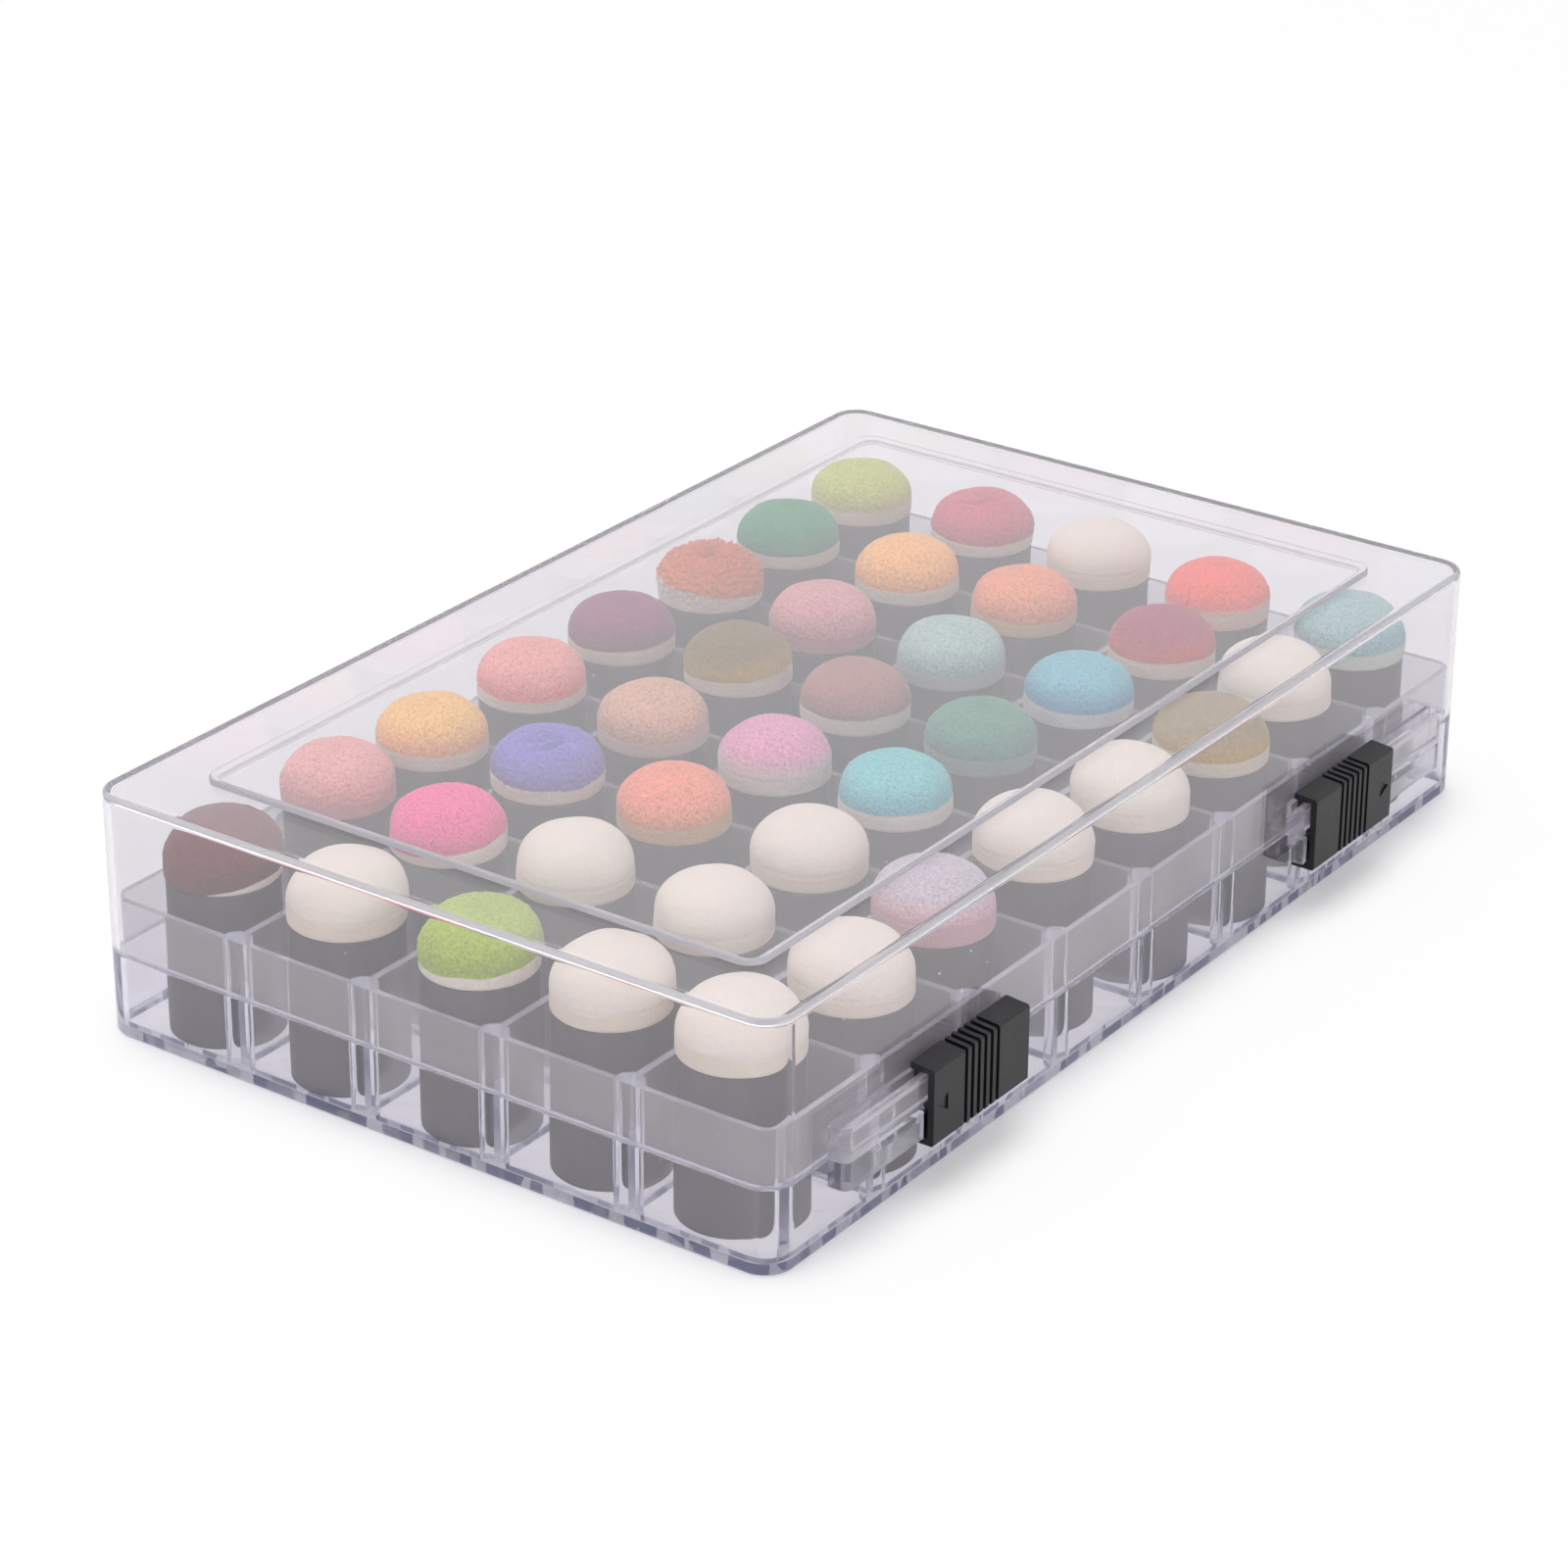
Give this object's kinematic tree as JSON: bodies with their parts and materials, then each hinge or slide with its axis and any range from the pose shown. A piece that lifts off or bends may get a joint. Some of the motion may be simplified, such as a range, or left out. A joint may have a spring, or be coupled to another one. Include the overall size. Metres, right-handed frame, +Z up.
{
  "type": "sponge dauber storage box",
  "caption": "Clear hinged box with a pocketed tray, sliding front latches and foam-tipped finger daubers standing in the pockets.",
  "frame": {"origin": "middle of the underside", "axes": "+X along the long side, -Y towards the latches, +Z up"},
  "size_m": [0.2404, 0.1634, 0.0504],
  "materials": {
    "clear_plastic": "clear polystyrene, polished",
    "latch_black": "satin black moulding",
    "pin_steel": "drawn wire",
    "tube_charcoal": "matt charcoal moulding",
    "foam_plain": "fine open foam, unused",
    "foam_inked": "fine open foam, stained with ink, one colour to a tip"
  },
  "bodies": {
    "tray": {"tray": "clear_plastic", "hinge_pin_left": "pin_steel", "hinge_pin_right": "pin_steel", "finger_tubes_row_a": "tube_charcoal", "finger_tubes_row_b": "tube_charcoal", "finger_tubes_row_c": "tube_charcoal", "finger_tubes_row_d": "tube_charcoal", "finger_tubes_row_e": "tube_charcoal", "finger_tubes_row_f": "tube_charcoal", "finger_tubes_row_g": "tube_charcoal", "finger_tubes_row_h": "tube_charcoal", "sponge_a1": "foam_inked", "sponge_a2": "foam_plain", "sponge_a3": "foam_inked", "sponge_a4": "foam_plain", "sponge_a5": "foam_plain", "sponge_b1": "foam_inked", "sponge_b2": "foam_inked", "sponge_b3": "foam_plain", "sponge_b4": "foam_plain", "sponge_b5": "foam_plain", "sponge_c1": "foam_inked", "sponge_c2": "foam_inked", "sponge_c3": "foam_inked", "sponge_c4": "foam_plain", "sponge_c5": "foam_inked", "sponge_d1": "foam_inked", "sponge_d2": "foam_inked", "sponge_d3": "foam_inked", "sponge_d4": "foam_inked", "sponge_d5": "foam_plain", "sponge_e1": "foam_inked", "sponge_e2": "foam_inked", "sponge_e3": "foam_inked", "sponge_e4": "foam_inked", "sponge_e5": "foam_plain", "sponge_f1": "foam_inked", "sponge_f2": "foam_inked", "sponge_f3": "foam_inked", "sponge_f4": "foam_inked", "sponge_f5": "foam_inked", "sponge_g1": "foam_inked", "sponge_g2": "foam_inked", "sponge_g3": "foam_inked", "sponge_g4": "foam_inked", "sponge_g5": "foam_plain", "sponge_h1": "foam_inked", "sponge_h2": "foam_inked", "sponge_h3": "foam_plain", "sponge_h4": "foam_inked", "sponge_h5": "foam_inked"},
    "lid": {"lid": "clear_plastic"},
    "latch_left": {"latch_slider_left": "latch_black"},
    "latch_right": {"latch_slider_right": "latch_black"}
  },
  "joints": [
    {"name": "lid_hinge", "type": "hinge", "parent": "tray", "child": "lid", "pos_m": [0, 0.0791, 0.017], "axis": [-1, 0, 0], "range_deg": [0, 120]},
    {"name": "latch_left_slide", "type": "slide", "parent": "lid", "child": "latch_left", "axis": [-1, 0, 0], "range_m": [0, 0.014]},
    {"name": "latch_right_slide", "type": "slide", "parent": "lid", "child": "latch_right", "axis": [1, 0, 0], "range_m": [0, 0.014]}
  ]
}
